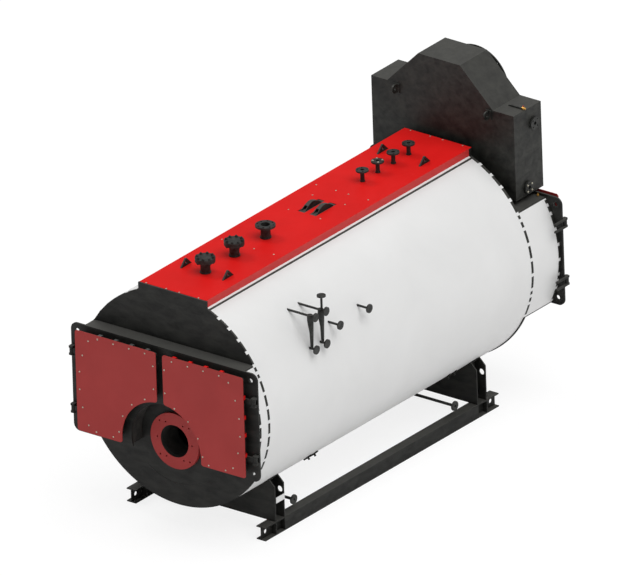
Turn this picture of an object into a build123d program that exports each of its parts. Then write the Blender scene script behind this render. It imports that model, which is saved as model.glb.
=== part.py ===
from build123d import *
import math
import os

os.makedirs("parts", exist_ok=True)

# Horizontal shell boiler on a steel base, in millimetres.
# X runs across it, Y from the burner end to the flue end, Z up from the floor.

# Drum
drum_length = 4930.0
jacket_radius = 1320.0
under_drum = 330.0
axis_height = under_drum + jacket_radius
insulation = 104.0
shell_wall = 16.0
end_plate = 20.0
tube_plate = 26.0
fit_gap = 0.3

shell_radius = jacket_radius - insulation

# Furnace and burner mouth
furnace_radius = jacket_radius * 59 / 132
furnace_water_gap = 90.0
furnace_drop = shell_radius - shell_wall - furnace_radius - furnace_water_gap
burner_height = axis_height - furnace_drop
furnace_wall = 18.0
furnace_length = drum_length - 830.0
burner_flange_radius = 340.0
burner_flange_thick = 43.0
burner_bore = 196.0
throat_bore = 206.0
throat_length = 260.0
inner_bolt_circle = 245.0
inner_bolts = 6
outer_bolt_circle = 295.0
outer_bolts = 4
burner_bolt_hole = 11.0

# Smoke tubes
tube_hole = 38.0
tube_pitch = 172.0
tube_margin = 62.0
third_pass_height = axis_height + 300.0

# Smokeboxes at both ends
casing_wall = 14.0
smokebox_top = axis_height + 690.0
front_smokebox_bottom = axis_height - 620.0
rear_smokebox_bottom = axis_height - 590.0
front_smokebox_depth = 168.0
rear_smokebox_depth = 511.0
arch_radius = furnace_radius - 90.0
cladding = 40.0

# Door frames
frame_plate = 20.0
frame_corner = 85.0
front_frame_half = jacket_radius - 2.0
front_frame_bottom = axis_height - 650.0
front_frame_top = axis_height + 692.0
rear_frame_half = jacket_radius + 39.0
rear_frame_bottom = axis_height - 615.0
rear_frame_top = axis_height + 723.0
frame_hole = 27.0
frame_hole_inset = 92.0

# Doors
front_door_half = front_frame_half - 130.0
front_door_bottom = axis_height - 588.0
front_door_top = axis_height + 658.0
rear_door_half = rear_frame_half - 130.0
rear_door_bottom = axis_height - 552.0
rear_door_top = axis_height + 702.0
door_middle_gap = 94.0
door_arc = furnace_radius - 30.0
door_corner = 32.0
door_thick = 93.0
cover_thick = 8.0
cover_margin = 46.0
door_seat = 6.0
door_overlap = 78.0
lining_depth = 70.0
lining_gap = 14.0

# Door hinges
front_pin = front_frame_half - 30.0
rear_pin = rear_frame_half - 4.0
pin_offset = 36.0
pin_radius = 15.0
pin_clearance = 0.5
eye_radius = 26.0
eye_height = 62.0
strap_thick = 24.0
ear_thick = 22.0
ear_reach = 28.0
ear_leg = 24.0
ear_leg_depth = 151.0
ear_gap_low = 0.5
ear_gap_high = 5.5
front_hinges = (axis_height - 363.0, axis_height + 353.0)
rear_hinges = (axis_height - 308.0, axis_height + 408.0)

# Walkway along the crown
platform_half = 485.0
platform_sheet = 4.0
platform_height = axis_height + jacket_radius + platform_sheet
platform_skirt = 62.0
side_strip = 12.0
seam_width = 26.0
seam_thick = 4.0

# Flanged pipes by standard size: pipe, bore, flange and bolt circle radii, then the holes
dn100 = dict(pipe=57.2, bore=53.5, flange=117.5, thick=24.0, circle=95.0, count=8, hole=11.0,
             hub=74.0, foot=66.0)
dn40 = dict(pipe=24.2, bore=21.5, flange=75.0, thick=18.0, circle=55.0, count=4, hole=9.0,
            hub=33.0, foot=30.0)
dn25 = dict(pipe=16.9, bore=14.3, flange=57.5, thick=18.0, circle=42.5, count=4, hole=7.0)
dn20 = dict(pipe=13.5, bore=11.0, flange=52.5, thick=18.0, circle=37.5, count=4, hole=7.0)
nozzle_height = 162.0
small_nozzle_height = 146.0
gasket = 3.0
hub_height = 30.0
foot_height = 14.0
blind_nozzles = (622.0, 1163.0)
steam_nozzle_place = 1745.0
valve_nozzle_places = tuple(drum_length - place for place in (1378.0, 1092.0, 802.0, 516.0))
sheet_clearance = 5.0

# Lifting lugs and channels on the crown
lug_length = 196.0
lug_height = 82.0
lug_thick = 20.0
lug_eye = 17.0
lug_offset = 297.0
lug_places = (645.0, drum_length - 614.0)
channel_length = 304.0
channel_foot = 64.0
channel_crest = 50.0
channel_height = 64.0
channel_wall = 8.0
channel_offset = 82.0
channel_place = drum_length / 2 + 240.0
channel_mouth = 60.0
channel_mouth_height = 39.0
channel_ridge = 44.0
channel_clearance = 16.0

# Arched cleats low on the drum's right side
cleat_places = (1288.0, 1402.0, drum_length - 1042.0, drum_length - 928.0)
cleat_angle = 53.0
cleat_span = 13.0
cleat_width = 30.0
cleat_height = 10.0
cleat_block = 34.0
cleat_block_width = 24.0

# Level gauge columns and stubs on the right side
gauge_top = axis_height + 962.0
gauge_bottom = axis_height + 560.0
gauge_reach = jacket_radius - 92.0
gauge_flange_reach = jacket_radius - 20.0
gauge_body_top = 30.0
gauge_body_bottom = 17.0
gauge_places = (954.0, 1153.0)
vent_height = axis_height + 1151.0
stub_height = axis_height + 692.0
stub_places = (1406.0, 1946.0)

# Drains under the drum
drain_height = under_drum - 30.0
drain_reach = jacket_radius - 354.0
drain_mouth = 40.0
drain_places = (876.0, drum_length - 1048.0)

# Economiser over the rear smokebox
economiser_front = drum_length + 134.0
economiser_depth = 508.0
economiser_half = jacket_radius - 312.0
economiser_bottom = smokebox_top + 56.0
economiser_shoulder = economiser_bottom + 1054.0
economiser_top = economiser_shoulder + 447.0
hood_foot = 728.0
hood_half = 320.0
economiser_wall = 50.0
duct_half = 800.0
duct_inset = 40.0
duct_depth = 300.0
duct_wall = 12.0
flue_bore = 390.0
flue_wall = 6.0
flue_flange = 450.0
flue_flange_thick = 16.0
flue_length = 145.0
flue_height = economiser_bottom + 988.0
flue_bolt_circle = 425.0
flue_bolts = 12
flue_bolt_hole = 9.0
side_connections = ((216.0, 100.0), (354.0, 845.0))
connection_reach = 32.0
economiser_lug_offset = 650.0
economiser_lug_drop = 65.0
economiser_pad = (92.0, 122.0)
economiser_pad_thick = 14.0
economiser_lug_radius = 52.0
economiser_lug_reach = 26.0
economiser_lug_eye = 16.0

# Base
beam_offset = jacket_radius - 402.0
beam_height = 166.0
beam_width = 128.0
beam_web = 10.0
beam_flange = 13.0
beam_length = drum_length - 574.0
beam_hole = 26.0
beam_hole_inset = 78.0
base_middle = drum_length / 2 + 20.0
saddle_places = (596.0, drum_length - 568.0)
saddle_pair = 180.0
saddle_plate = 16.0
saddle_half = beam_offset + 58.0
saddle_shoulder = under_drum + 262.0
saddle_contact = jacket_radius * 0.675
saddle_bottom = 100.0
saddle_web = 16.0
saddle_web_place = beam_offset - 98.0
saddle_hole = (beam_offset + 5.0, under_drum + 171.0)
saddle_hole_radius = 34.0
saddle_pad = 14.0
stiffener = 14.0

# The origin is on the floor under the middle of the whole boiler
front_overhang = front_smokebox_depth + frame_plate + door_seat + door_thick
rear_overhang = economiser_front + economiser_depth + flue_length - drum_length
front = (front_overhang - rear_overhang - drum_length) / 2
rear = front + drum_length
drum_section_drop = math.sqrt(jacket_radius**2 - saddle_contact**2)


def across(y):
    """Plane across the boiler at y: sketch X is across, sketch Y is up, extrusions run forwards."""
    return Plane.XZ.offset(-y)


def sideways(x):
    """Plane along the boiler at x: sketch X is along, sketch Y is up, extrusions run to the right."""
    return Plane.YZ.offset(x)


def drum_height(x, radius=jacket_radius):
    """Height of the drum's upper surface at a distance x from its axis."""
    return axis_height + math.sqrt(radius**2 - x**2)


def drum_reach(z, radius=jacket_radius):
    """Half the drum's width at height z."""
    return math.sqrt(radius**2 - (z - axis_height) ** 2)


def save(piece, name):
    piece.part.label = name
    export_step(piece.part, f"parts/{name}.step")


def drum_section(radius, top, bottom):
    """The drum's round section between two level cuts, added to the current sketch."""
    side = 2 * radius
    with Locations((0, axis_height)):
        Circle(radius)
    with Locations((0, top)):
        Rectangle(2 * side, side, align=(Align.CENTER, Align.MIN), mode=Mode.SUBTRACT)
    with Locations((0, bottom)):
        Rectangle(2 * side, side, align=(Align.CENTER, Align.MAX), mode=Mode.SUBTRACT)


def flange_holes(size):
    with PolarLocations(size["circle"], size["count"], start_angle=180 / size["count"]):
        Circle(size["hole"], mode=Mode.SUBTRACT)


# Pressure shell, with the crown nozzles' holes in the insulated jacket round it
with BuildPart() as pressure_shell:
    with BuildSketch(across(rear - end_plate - tube_plate)):
        with Locations((0, axis_height)):
            Circle(shell_radius)
            Circle(shell_radius - shell_wall, mode=Mode.SUBTRACT)
    extrude(amount=drum_length - 2 * (end_plate + tube_plate))
save(pressure_shell, "pressure_shell")

crown_nozzles = [(place, dn100) for place in (*blind_nozzles, steam_nozzle_place)]
crown_nozzles += [(place, dn40) for place in valve_nozzle_places]

with BuildPart() as drum_jacket:
    with BuildSketch(across(rear - end_plate)):
        with Locations((0, axis_height)):
            Circle(jacket_radius)
            Circle(shell_radius, mode=Mode.SUBTRACT)
    extrude(amount=drum_length - 2 * end_plate)
    with BuildSketch(Plane.XY.offset(axis_height)):
        for place, size in crown_nozzles:
            with Locations((0, front + place)):
                Circle(size["pipe"] + fit_gap)
    extrude(amount=jacket_radius, mode=Mode.SUBTRACT)
save(drum_jacket, "drum_jacket")

# End plates, each with a neck under the walkway and an opening into its smokebox
front_inside = (jacket_radius - cladding - casing_wall, smokebox_top - casing_wall,
                front_smokebox_bottom + casing_wall)
rear_inside = (jacket_radius - cladding - casing_wall, smokebox_top - casing_wall,
               rear_smokebox_bottom + casing_wall)


def end_plate_outline():
    neck = platform_height - platform_sheet - axis_height
    with Locations((0, axis_height)):
        Circle(jacket_radius)
        Rectangle(2 * platform_half, neck, align=(Align.CENTER, Align.MIN))


with BuildPart() as front_end_plate:
    with BuildSketch(across(front + end_plate)):
        end_plate_outline()
    extrude(amount=end_plate)
    with BuildSketch(across(front + end_plate)):
        drum_section(*front_inside)
        with Locations((0, burner_height)):
            Circle(arch_radius + casing_wall, mode=Mode.SUBTRACT)
            Circle(throat_bore)
    extrude(amount=end_plate, mode=Mode.SUBTRACT)
save(front_end_plate, "front_end_plate")

with BuildPart() as rear_end_plate:
    with BuildSketch(across(rear)):
        end_plate_outline()
    extrude(amount=end_plate)
    with BuildSketch(across(rear)):
        drum_section(*rear_inside)
    extrude(amount=end_plate, mode=Mode.SUBTRACT)
save(rear_end_plate, "rear_end_plate")

# Tube plates: the second and third passes open at the front, the third alone at the rear
tube_field = shell_radius - shell_wall - tube_margin - tube_hole
furnace_field = furnace_radius + tube_margin + tube_hole
columns = int(tube_field // tube_pitch)
rows = int((axis_height + tube_field - burner_height) // tube_pitch)
row_pitch = tube_pitch * math.sqrt(3) / 2
tube_places = []
for row in range(rows + 2):
    height = front_smokebox_bottom + casing_wall + tube_margin + tube_hole + row * row_pitch
    stagger = tube_pitch / 2 * (row % 2)
    for column in range(-columns - 1, columns + 1):
        place = column * tube_pitch + stagger
        inside_shell = math.hypot(place, height - axis_height) < tube_field
        outside_furnace = math.hypot(place, height - burner_height) > furnace_field
        if inside_shell and outside_furnace and height < smokebox_top - tube_margin:
            tube_places.append((place, height))
third_pass = [place for place in tube_places if place[1] > third_pass_height]

with BuildPart() as front_tube_plate:
    with BuildSketch(across(front + end_plate + tube_plate)):
        with Locations((0, axis_height)):
            Circle(shell_radius)
        with Locations((0, burner_height)):
            Circle(furnace_radius, mode=Mode.SUBTRACT)
        with Locations(*tube_places):
            Circle(tube_hole, mode=Mode.SUBTRACT)
    extrude(amount=tube_plate)
save(front_tube_plate, "front_tube_plate")

with BuildPart() as rear_tube_plate:
    with BuildSketch(across(rear - end_plate)):
        with Locations((0, axis_height)):
            Circle(shell_radius)
        with Locations(*third_pass):
            Circle(tube_hole, mode=Mode.SUBTRACT)
    extrude(amount=tube_plate)
save(rear_tube_plate, "rear_tube_plate")

# Furnace tube with its blind inner end, and the burner's throat and flange
with BuildPart() as furnace_tube:
    with BuildSketch(across(front + end_plate + furnace_length)):
        with Locations((0, burner_height)):
            Circle(furnace_radius)
    extrude(amount=furnace_length)
    with BuildSketch(across(front + end_plate + furnace_length - furnace_wall)):
        with Locations((0, burner_height)):
            Circle(furnace_radius - furnace_wall)
    extrude(amount=furnace_length - furnace_wall, mode=Mode.SUBTRACT)
save(furnace_tube, "furnace_tube")

with BuildPart() as burner_throat:
    with BuildSketch(across(front + end_plate + throat_length)):
        with Locations((0, burner_height)):
            Circle(furnace_radius - furnace_wall)
            Circle(throat_bore, mode=Mode.SUBTRACT)
    extrude(amount=throat_length)
save(burner_throat, "burner_throat")

with BuildPart() as burner_flange:
    with BuildSketch(across(front)):
        with Locations((0, burner_height)):
            Circle(burner_flange_radius)
            Circle(burner_bore, mode=Mode.SUBTRACT)
            with PolarLocations(inner_bolt_circle, inner_bolts):
                Circle(burner_bolt_hole, mode=Mode.SUBTRACT)
            with PolarLocations(outer_bolt_circle, outer_bolts, start_angle=45):
                Circle(burner_bolt_hole, mode=Mode.SUBTRACT)
    extrude(amount=burner_flange_thick)
save(burner_flange, "burner_flange")

# Smokebox casings: a level top plate over round sides, closed below
casing_radius = jacket_radius - cladding
inside_radius = casing_radius - casing_wall
front_frame_back = front - front_smokebox_depth
rear_frame_back = rear + rear_smokebox_depth


def casing_top_plate():
    """Level top plate that runs out over the cladding to the drum's full width."""
    with BuildSketch(mode=Mode.PRIVATE) as top_plate:
        drum_section(jacket_radius, smokebox_top, smokebox_top - casing_wall)
    add(top_plate.sketch)


with BuildPart() as front_smokebox_casing:
    with BuildSketch(across(front)):
        drum_section(casing_radius, smokebox_top, front_smokebox_bottom)
        with Locations((0, burner_height)):
            Circle(arch_radius, mode=Mode.SUBTRACT)
        with BuildSketch(mode=Mode.PRIVATE) as hollow:
            drum_section(*front_inside)
            with Locations((0, burner_height)):
                Circle(arch_radius + casing_wall, mode=Mode.SUBTRACT)
        add(hollow.sketch, mode=Mode.SUBTRACT)
        casing_top_plate()
    extrude(amount=front_smokebox_depth)
save(front_smokebox_casing, "front_smokebox_casing")

duct_front = front + economiser_front + duct_inset
with BuildPart() as rear_smokebox_casing:
    with BuildSketch(across(rear_frame_back)):
        drum_section(casing_radius, smokebox_top, rear_smokebox_bottom)
        with BuildSketch(mode=Mode.PRIVATE) as hollow:
            drum_section(*rear_inside)
        add(hollow.sketch, mode=Mode.SUBTRACT)
        casing_top_plate()
    extrude(amount=rear_smokebox_depth)
    with BuildSketch(Plane.XY.offset(smokebox_top - casing_wall)):
        with Locations((0, duct_front + duct_depth / 2)):
            Rectangle(2 * (duct_half - duct_wall), duct_depth - 2 * duct_wall)
    extrude(amount=casing_wall, mode=Mode.SUBTRACT)
save(rear_smokebox_casing, "rear_smokebox_casing")


def cladding_section(bottom):
    """Round side cladding between a casing's bottom and its top plate, both sides."""
    top = smokebox_top - casing_wall
    drum_section(jacket_radius, top, bottom)
    with Locations((0, axis_height)):
        Circle(casing_radius, mode=Mode.SUBTRACT)


with BuildPart() as front_smokebox_cladding:
    with BuildSketch(across(front)):
        cladding_section(front_smokebox_bottom)
    extrude(amount=front_smokebox_depth)
save(front_smokebox_cladding, "front_smokebox_cladding")

with BuildPart() as rear_smokebox_cladding:
    with BuildSketch(across(rear_frame_back)):
        cladding_section(rear_smokebox_bottom)
    extrude(amount=rear_smokebox_depth)
save(rear_smokebox_cladding, "rear_smokebox_cladding")


# Doors close on plate frames, and the front doors are cut round the burner
def door_outline(end, side, inset, reach=None):
    """One door's outline, drawn in by inset and kept within reach of the drum's axis."""
    inner = door_middle_gap / 2 + inset
    outer = end["half"] - inset
    low = end["bottom"] + inset
    high = end["top"] - inset
    with Locations((side * (inner + outer) / 2, (low + high) / 2)):
        RectangleRounded(outer - inner, high - low, door_corner)
    if end["arched"]:
        with Locations((0, burner_height)):
            Circle(door_arc + inset, mode=Mode.SUBTRACT)
    if reach:
        with Locations((0, axis_height)):
            Circle(reach, mode=Mode.INTERSECT)


front_end = dict(half=front_door_half, bottom=front_door_bottom, top=front_door_top, arched=True,
                 outward=-1, face=front_frame_back - frame_plate, hinges=front_hinges,
                 frame_half=front_frame_half, pin=front_pin, legs=False)
rear_end = dict(half=rear_door_half, bottom=rear_door_bottom, top=rear_door_top, arched=False,
                outward=1, face=rear_frame_back + frame_plate, hinges=rear_hinges,
                frame_half=rear_frame_half, pin=rear_pin, legs=True)


def door_frame(end, low, high):
    """Plate frame with an opening behind each door and a hole in each corner."""
    half = end["frame_half"]
    with BuildPart() as frame:
        with BuildSketch(across(max(end["face"], end["face"] - end["outward"] * frame_plate))):
            with Locations((0, (low + high) / 2)):
                RectangleRounded(2 * half, high - low, frame_corner)
                with GridLocations(2 * (half - frame_hole_inset),
                                   high - low - 2 * frame_hole_inset, 2, 2):
                    Circle(frame_hole, mode=Mode.SUBTRACT)
            if end["arched"]:
                with Locations((0, burner_height)):
                    Circle(arch_radius, mode=Mode.SUBTRACT)
            for side in (-1, 1):
                with BuildSketch(mode=Mode.PRIVATE) as opening:
                    door_outline(end, side, door_overlap, inside_radius)
                add(opening.sketch, mode=Mode.SUBTRACT)
        extrude(amount=frame_plate)
    return frame


def door_slab(end, side, inset, inner, outer):
    """Slab of a door's outline between two faces, its tips at the burner rounded."""
    with BuildSketch(across(max(inner, outer))) as slab:
        door_outline(end, side, inset)
        tips = slab.vertices().filter_by(
            lambda tip: abs(math.hypot(tip.X, tip.Y - burner_height) - door_arc - inset) < fit_gap)
        fillet(tips, radius=door_corner)
    extrude(slab.sketch, amount=abs(outer - inner))


def door(end, side):
    """Steel door box with its heat lining standing into the opening behind."""
    seat = end["face"] + end["outward"] * door_seat
    lining_end = seat - end["outward"] * lining_depth
    with BuildPart() as leaf:
        door_slab(end, side, cover_margin, seat, seat + end["outward"] * (door_thick - cover_thick))
        with BuildSketch(across(max(seat, lining_end))):
            door_outline(end, side, door_overlap + lining_gap, inside_radius - lining_gap)
        extrude(amount=lining_depth)
    return leaf


def door_cover(end, side):
    """Cover sheet on the door box, wider than the box all round."""
    outer = end["face"] + end["outward"] * (door_seat + door_thick)
    with BuildPart() as sheet:
        door_slab(end, side, 0, outer - end["outward"] * cover_thick, outer)
    return sheet


def hinge_pin(end, side):
    return (side * end["pin"], end["face"] + end["outward"] * pin_offset)


def hinge_straps(end, side):
    """Straps from the door box's edge, each ending in an eye round its hinge pin."""
    pin_x, pin_y = hinge_pin(end, side)
    edge = side * (end["half"] - cover_margin)
    with BuildPart() as straps:
        for height in end["hinges"]:
            with BuildSketch(Plane.XY.offset(height - eye_height / 2)):
                with Locations(((edge + pin_x) / 2, pin_y)):
                    Rectangle(abs(pin_x - edge), strap_thick)
                with Locations((pin_x, pin_y)):
                    Circle(eye_radius)
                    Circle(pin_radius + pin_clearance, mode=Mode.SUBTRACT)
            extrude(amount=eye_height)
    return straps


def hinge_brackets(end):
    """Pairs of ears on the frame's face, with the pin through each pair."""
    outward = end["outward"]
    with BuildPart() as brackets:
        for side in (-1, 1):
            pin_x, pin_y = hinge_pin(end, side)
            root = end["face"]
            nose = pin_y + outward * ear_reach
            middle = (root + nose) / 2
            edge = side * (end["frame_half"] + ear_leg / 2)
            leg_depth = frame_plate + ear_leg_depth + abs(nose - root)
            for height in end["hinges"]:
                low = height - eye_height / 2 - ear_gap_low - ear_thick
                high = height + eye_height / 2 + ear_gap_high
                for level in (low, high):
                    with BuildSketch(Plane.XY.offset(level)) as ear:
                        with Locations((pin_x, middle)):
                            Rectangle(2 * ear_reach, abs(nose - root))
                        if end["legs"]:
                            with Locations((edge, nose - outward * leg_depth / 2)):
                                Rectangle(ear_leg, leg_depth)
                        fillet(ear.vertices().group_by(Axis.Y)[0 if outward < 0 else -1],
                               radius=ear_reach / 2)
                    extrude(amount=ear_thick)
                with BuildSketch(Plane.XY.offset(low)):
                    with Locations((pin_x, pin_y)):
                        Circle(pin_radius)
                extrude(amount=high + ear_thick - low)
    return brackets


save(door_frame(front_end, front_frame_bottom, front_frame_top), "front_door_frame")
save(door_frame(rear_end, rear_frame_bottom, rear_frame_top), "rear_door_frame")
save(hinge_brackets(front_end), "front_hinge_brackets")
save(hinge_brackets(rear_end), "rear_hinge_brackets")
for end_name, end in (("front", front_end), ("rear", rear_end)):
    for side_name, side in (("left", -1), ("right", 1)):
        save(door(end, side), f"{end_name}_door_{side_name}")
        save(door_cover(end, side), f"{end_name}_door_{side_name}_cover")
        save(hinge_straps(end, side), f"{end_name}_door_{side_name}_straps")

# Walkway tray on the crown, its side strips and the seams beside them
strip_top = platform_height - platform_skirt
with BuildPart() as top_platform:
    with BuildSketch(across(rear)):
        with Locations((0, platform_height)):
            Rectangle(2 * platform_half, platform_sheet, align=(Align.CENTER, Align.MAX))
            for side in (-1, 1):
                with Locations((side * (platform_half - platform_sheet / 2), 0)):
                    Rectangle(platform_sheet, platform_skirt, align=(Align.CENTER, Align.MAX))
    extrude(amount=drum_length)
    with BuildSketch(across(rear)):
        with Locations((0, platform_height - platform_sheet)):
            Rectangle(2 * platform_half, platform_skirt, align=(Align.CENTER, Align.MAX))
    extrude(amount=end_plate, mode=Mode.SUBTRACT)
    with BuildSketch(across(front + end_plate)):
        with Locations((0, platform_height - platform_sheet)):
            Rectangle(2 * platform_half, platform_skirt, align=(Align.CENTER, Align.MAX))
    extrude(amount=end_plate, mode=Mode.SUBTRACT)
    with BuildSketch(Plane.XY.offset(platform_height - platform_sheet)):
        for place, size in crown_nozzles:
            with Locations((0, front + place)):
                Circle(size["pipe"] + sheet_clearance)
        for place in lug_places:
            for side in (-1, 1):
                with Locations((side * lug_offset, front + place)):
                    Rectangle(lug_thick + 2 * sheet_clearance, lug_length + 2 * sheet_clearance)
        for side in (-1, 1):
            with Locations((side * channel_offset, front + channel_place)):
                Rectangle(channel_foot + 2 * channel_clearance,
                          channel_length + 2 * channel_clearance)
    extrude(amount=platform_sheet, mode=Mode.SUBTRACT)
save(top_platform, "top_platform")

with BuildPart() as platform_side_strips:
    with BuildSketch(across(rear - end_plate)):
        for side in (-1, 1):
            with Locations((side * (platform_half - side_strip / 2), strip_top)):
                Rectangle(side_strip, jacket_radius, align=(Align.CENTER, Align.MAX))
        with Locations((0, axis_height)):
            Circle(jacket_radius, mode=Mode.SUBTRACT)
        with Locations((0, axis_height)):
            Rectangle(4 * jacket_radius, 2 * jacket_radius, align=(Align.CENTER, Align.MAX),
                      mode=Mode.SUBTRACT)
    extrude(amount=drum_length - 2 * end_plate)
save(platform_side_strips, "platform_side_strips")

seam_angle = math.asin(platform_half / jacket_radius)
seam_span = seam_width / jacket_radius
with BuildPart() as jacket_seam_strips:
    for side in (-1, 1):
        with BuildSketch(across(rear - end_plate)):
            with BuildLine():
                corners = [(0, axis_height)]
                for angle in (seam_angle, seam_angle + seam_span):
                    reach = 2 * jacket_radius
                    corners.append((side * reach * math.sin(angle),
                                    axis_height + reach * math.cos(angle)))
                Polyline(*corners, close=True)
            make_face()
            with Locations((0, axis_height)):
                Circle(jacket_radius + seam_thick, mode=Mode.INTERSECT)
                Circle(jacket_radius, mode=Mode.SUBTRACT)
        extrude(amount=drum_length - 2 * end_plate)
save(jacket_seam_strips, "jacket_seam_strips")


# Flanged nozzles that rise from the pressure shell through the jacket and the walkway
def crown_nozzle(place, size, height, blind=False):
    """Pipe with a weld-neck flange on the crown, under a bolted cover where blind."""
    top = platform_height + height
    foot = axis_height + shell_radius - size["pipe"]

    def disc(level, tall, radius, mode=Mode.ADD, drilled=False):
        with BuildSketch(Plane.XY.offset(level)) as outline:
            with Locations((0, front + place)):
                Circle(radius)
                if drilled:
                    flange_holes(size)
        extrude(outline.sketch, amount=tall, mode=mode)

    disc(foot, top - foot, size["pipe"])
    disc(platform_height, foot_height, size["foot"])
    hub_foot = top - size["thick"] - hub_height
    with BuildSketch(across(front + place)) as hub:
        with Locations((0, hub_foot)):
            Polygon((0, 0), (size["pipe"], 0), (size["hub"], hub_height), (0, hub_height),
                    align=None)
    revolve(hub.sketch, axis=Axis((0, front + place, 0), (0, 0, 1)))
    disc(top - size["thick"], size["thick"], size["flange"], drilled=True)
    disc(foot, top - foot, size["bore"], mode=Mode.SUBTRACT)
    if blind:
        disc(top, gasket, size["circle"] - size["hole"] - gasket)
        disc(top + gasket, size["thick"], size["flange"], drilled=True)
    with BuildSketch(across(front + place + size["flange"])) as shell:
        with Locations((0, axis_height)):
            Circle(shell_radius)
    extrude(shell.sketch, amount=2 * size["flange"], mode=Mode.SUBTRACT)


with BuildPart() as blind_nozzle_front:
    crown_nozzle(blind_nozzles[0], dn100, nozzle_height, blind=True)
save(blind_nozzle_front, "blind_nozzle_front")

with BuildPart() as blind_nozzle_rear:
    crown_nozzle(blind_nozzles[1], dn100, nozzle_height, blind=True)
save(blind_nozzle_rear, "blind_nozzle_rear")

with BuildPart() as steam_nozzle:
    crown_nozzle(steam_nozzle_place, dn100, nozzle_height)
save(steam_nozzle, "steam_nozzle")

with BuildPart() as valve_nozzles:
    for place in valve_nozzle_places:
        crown_nozzle(place, dn40, small_nozzle_height)
save(valve_nozzles, "valve_nozzles")

# Three-cornered lifting lugs and the two channels of the middle lifting point
with BuildPart() as lifting_lugs:
    for place in lug_places:
        for side in (-1, 1):
            outside = side * lug_offset + lug_thick / 2
            foot = drum_height(lug_offset + lug_thick / 2)
            peak = platform_height + lug_height
            with BuildSketch(sideways(outside - lug_thick)) as lug:
                with BuildLine():
                    Polyline((front + place - lug_length / 2, foot),
                             (front + place + lug_length / 2, foot),
                             (front + place + lug_length / 2, platform_height),
                             (front + place, peak + lug_eye),
                             (front + place - lug_length / 2, platform_height), close=True)
                make_face()
                fillet(lug.vertices().sort_by(Axis.Y)[-1], radius=lug_eye)
                with Locations((front + place, platform_height + lug_height / 2)):
                    Circle(lug_eye, mode=Mode.SUBTRACT)
            extrude(amount=lug_thick)
            with BuildSketch(across(front + place + lug_length / 2)):
                with Locations((0, axis_height)):
                    Circle(jacket_radius)
            extrude(amount=lug_length, mode=Mode.SUBTRACT)
save(lifting_lugs, "lifting_lugs")


def channel_bridge(side, inset):
    """Solid under a channel's humped top and leaning sides, drawn in by inset."""
    middle = front + channel_place
    foot = axis_height
    crest = channel_height - inset
    mouth = channel_mouth_height - inset
    end = channel_length / 2
    with BuildPart() as bridge:
        with BuildSketch(across(middle + channel_length)):
            with Locations((side * channel_offset, platform_height)):
                Polygon((-channel_foot / 2 + inset, foot - platform_height),
                        (channel_foot / 2 - inset, foot - platform_height),
                        (channel_foot / 2 - inset, 0), (channel_crest / 2 - inset, crest),
                        (-channel_crest / 2 + inset, crest), (-channel_foot / 2 + inset, 0),
                        align=None)
        extrude(amount=2 * channel_length)
        with BuildSketch(sideways(side * channel_offset - channel_foot)):
            with Locations((middle, platform_height)):
                if inset:
                    Polygon((-2 * end, foot - platform_height), (2 * end, foot - platform_height),
                            (2 * end, channel_height), (end - channel_mouth, channel_height),
                            (end - channel_mouth, mouth), (channel_ridge / 2, crest),
                            (-channel_ridge / 2, crest), (channel_mouth - end, mouth),
                            (channel_mouth - end, channel_height), (-2 * end, channel_height),
                            align=None)
                else:
                    Polygon((-end, foot - platform_height), (end, foot - platform_height),
                            (end, 0), (end - channel_mouth, mouth), (channel_ridge / 2, crest),
                            (-channel_ridge / 2, crest), (channel_mouth - end, mouth), (-end, 0),
                            align=None)
        extrude(amount=2 * channel_foot, mode=Mode.INTERSECT)
    return bridge.part


with BuildPart() as lifting_channels:
    for side in (-1, 1):
        add(channel_bridge(side, 0))
    for side in (-1, 1):
        add(channel_bridge(side, channel_wall), mode=Mode.SUBTRACT)
    with BuildSketch(across(front + channel_place + channel_length)):
        with Locations((0, axis_height)):
            Circle(jacket_radius)
    extrude(amount=2 * channel_length, mode=Mode.SUBTRACT)
save(lifting_channels, "lifting_channels")

with BuildPart() as belly_cleats:
    for place in cleat_places:
        with BuildSketch(across(front + place + cleat_width / 2)):
            with BuildLine():
                corners = [(0, axis_height)]
                for turn in (-cleat_span / 2, cleat_span / 2):
                    angle = math.radians(turn - cleat_angle)
                    reach = 2 * jacket_radius
                    corners.append((reach * math.cos(angle), axis_height + reach * math.sin(angle)))
                Polyline(*corners, close=True)
            make_face()
            with Locations((0, axis_height)):
                Circle(jacket_radius + cleat_height, mode=Mode.INTERSECT)
                Circle(jacket_radius, mode=Mode.SUBTRACT)
        extrude(amount=cleat_width)
        with BuildSketch(across(front + place + cleat_block_width / 2)):
            with Locations((0, axis_height)):
                with PolarLocations(jacket_radius + cleat_block / 2, 1, start_angle=-cleat_angle):
                    Rectangle(cleat_block, cleat_width)
                Circle(jacket_radius, mode=Mode.SUBTRACT)
        extrude(amount=cleat_block_width)
save(belly_cleats, "belly_cleats")


# Side pipework: two water level columns and two plain flanged stubs
def side_pipe(place, height, reach, size):
    """Level pipe from the jacket out to the right, ending in a flange."""
    root = drum_reach(height) - 2 * size["pipe"]
    with BuildSketch(sideways(root)) as pipe:
        with Locations((front + place, height)):
            Circle(size["pipe"])
    extrude(pipe.sketch, amount=reach - root)
    with BuildSketch(sideways(reach - size["thick"])) as flange:
        with Locations((front + place, height)):
            Circle(size["flange"])
    extrude(flange.sketch, amount=size["thick"])


def clear_of_drum(place, width):
    """Cut the parts that would stand inside the jacket."""
    with BuildSketch(across(front + place + width)) as drum:
        with Locations((0, axis_height)):
            Circle(jacket_radius)
    extrude(drum.sketch, amount=2 * width, mode=Mode.SUBTRACT)


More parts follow.
